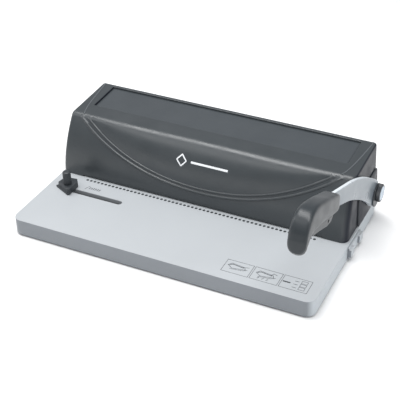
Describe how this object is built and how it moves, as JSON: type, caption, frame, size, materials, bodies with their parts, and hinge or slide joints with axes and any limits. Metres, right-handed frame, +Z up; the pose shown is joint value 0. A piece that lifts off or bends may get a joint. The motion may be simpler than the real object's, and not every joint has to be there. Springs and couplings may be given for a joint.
{
  "type": "coil binding machine",
  "caption": "Manual desktop coil punch and binding machine: A4 tray with edge guide, charcoal punch housing, side lever with grip, chip drawer.",
  "frame": {"origin": "middle of the footprint of the whole machine at rest (lever raised), on the surface it stands on", "axes": "+Z up, +Y to the rear (paper goes in towards +Y), +X to the lever's side, along the machine's length"},
  "size_m": [0.3776, 0.281, 0.1685],
  "materials": {
    "tray_grey": "satin moulded ABS",
    "housing_charcoal": "fine-textured moulded ABS",
    "panel_charcoal": "fine-textured moulded ABS",
    "grip_rubber": "soft-touch, satin",
    "guide_black": "moulded nylon",
    "arm_silver": "silver enamel",
    "knob_black": "knurled, moulded",
    "knob_silver": "turned face",
    "drawer_grey": "moulded",
    "punch_steel": "ground tool steel",
    "zinc_steel": "zinc plated",
    "bronze": "sintered bronze bush",
    "spring_steel": "drawn wire",
    "foot_rubber": "matte"
  },
  "bodies": {
    "base": {"base_tray": "tray_grey", "base_plate": "zinc_steel", "base_screw_1": "zinc_steel", "base_screw_2": "zinc_steel", "base_screw_3": "zinc_steel", "base_screw_4": "zinc_steel", "base_screw_5": "zinc_steel", "base_screw_6": "zinc_steel", "foot_1": "foot_rubber", "foot_2": "foot_rubber", "foot_3": "foot_rubber", "foot_4": "foot_rubber", "housing_cover": "housing_charcoal", "top_panel": "panel_charcoal", "right_side_cover": "housing_charcoal", "cover_screw_left": "zinc_steel", "cover_screw_right": "zinc_steel", "die_plate": "punch_steel", "punch_guide_plate": "punch_steel", "paper_stop": "zinc_steel", "chassis_plate": "zinc_steel", "left_bearing_plate": "zinc_steel", "right_bearing_plate": "zinc_steel", "chassis_screw_1": "zinc_steel", "chassis_screw_2": "zinc_steel", "chassis_screw_3": "zinc_steel", "chassis_screw_4": "zinc_steel", "left_bush": "bronze", "right_bush": "bronze", "left_guide_post": "punch_steel", "right_guide_post": "punch_steel", "left_return_spring": "spring_steel", "right_return_spring": "spring_steel"},
    "lever": {"lever_shaft": "punch_steel", "left_crank": "zinc_steel", "right_crank": "zinc_steel", "left_crank_roller": "punch_steel", "right_crank_roller": "punch_steel", "lever_arm": "arm_silver", "lever_grip": "grip_rubber", "hub_flange": "knob_black"},
    "fixing_knob": {"fixing_knob": "knob_black", "fixing_knob_cap": "knob_silver"},
    "punch": {"punch_carriage": "zinc_steel", "punch_pins": "punch_steel"},
    "drawer": {"chip_drawer": "drawer_grey", "drawer_handle": "drawer_grey"},
    "edge_guide": {"edge_guide_block": "guide_black", "edge_guide_nut": "zinc_steel", "edge_guide_stud": "zinc_steel"},
    "guide_knob": {"edge_guide_knob": "guide_black"}
  },
  "joints": [
    {"name": "lever_press", "type": "hinge", "parent": "base", "child": "lever", "pos_m": [0.17688, 0.1133, 0.0445], "axis": [1, 0, 0], "range_deg": [0, 24], "stiffness_Nm_per_rad": 1.4, "springref_deg": -57.3},
    {"name": "punch_stroke", "type": "slide", "parent": "base", "child": "punch", "axis": [0, 0, -1], "range_m": [0, 0.0063], "deforming": ["left_return_spring", "right_return_spring"]},
    {"name": "fixing_knob_turn", "type": "hinge", "parent": "lever", "child": "fixing_knob", "pos_m": [0.18338, 0.1133, 0.0445], "axis": [1, 0, 0], "range_deg": [0, 360]},
    {"name": "drawer_slide", "type": "slide", "parent": "base", "child": "drawer", "axis": [1, 0, 0], "range_m": [0, 0.25]},
    {"name": "edge_guide_slide", "type": "slide", "parent": "base", "child": "edge_guide", "axis": [1, 0, 0], "range_m": [0, 0.069]},
    {"name": "guide_knob_turn", "type": "hinge", "parent": "edge_guide", "child": "guide_knob", "pos_m": [-0.16193, 0.0033, 0.0295], "axis": [0, 0, 1], "range_deg": [0, 360]}
  ],
  "couplings": [
    {"joint": "punch_stroke", "follows": "lever_press", "m_per_rad": 0.015}
  ]
}
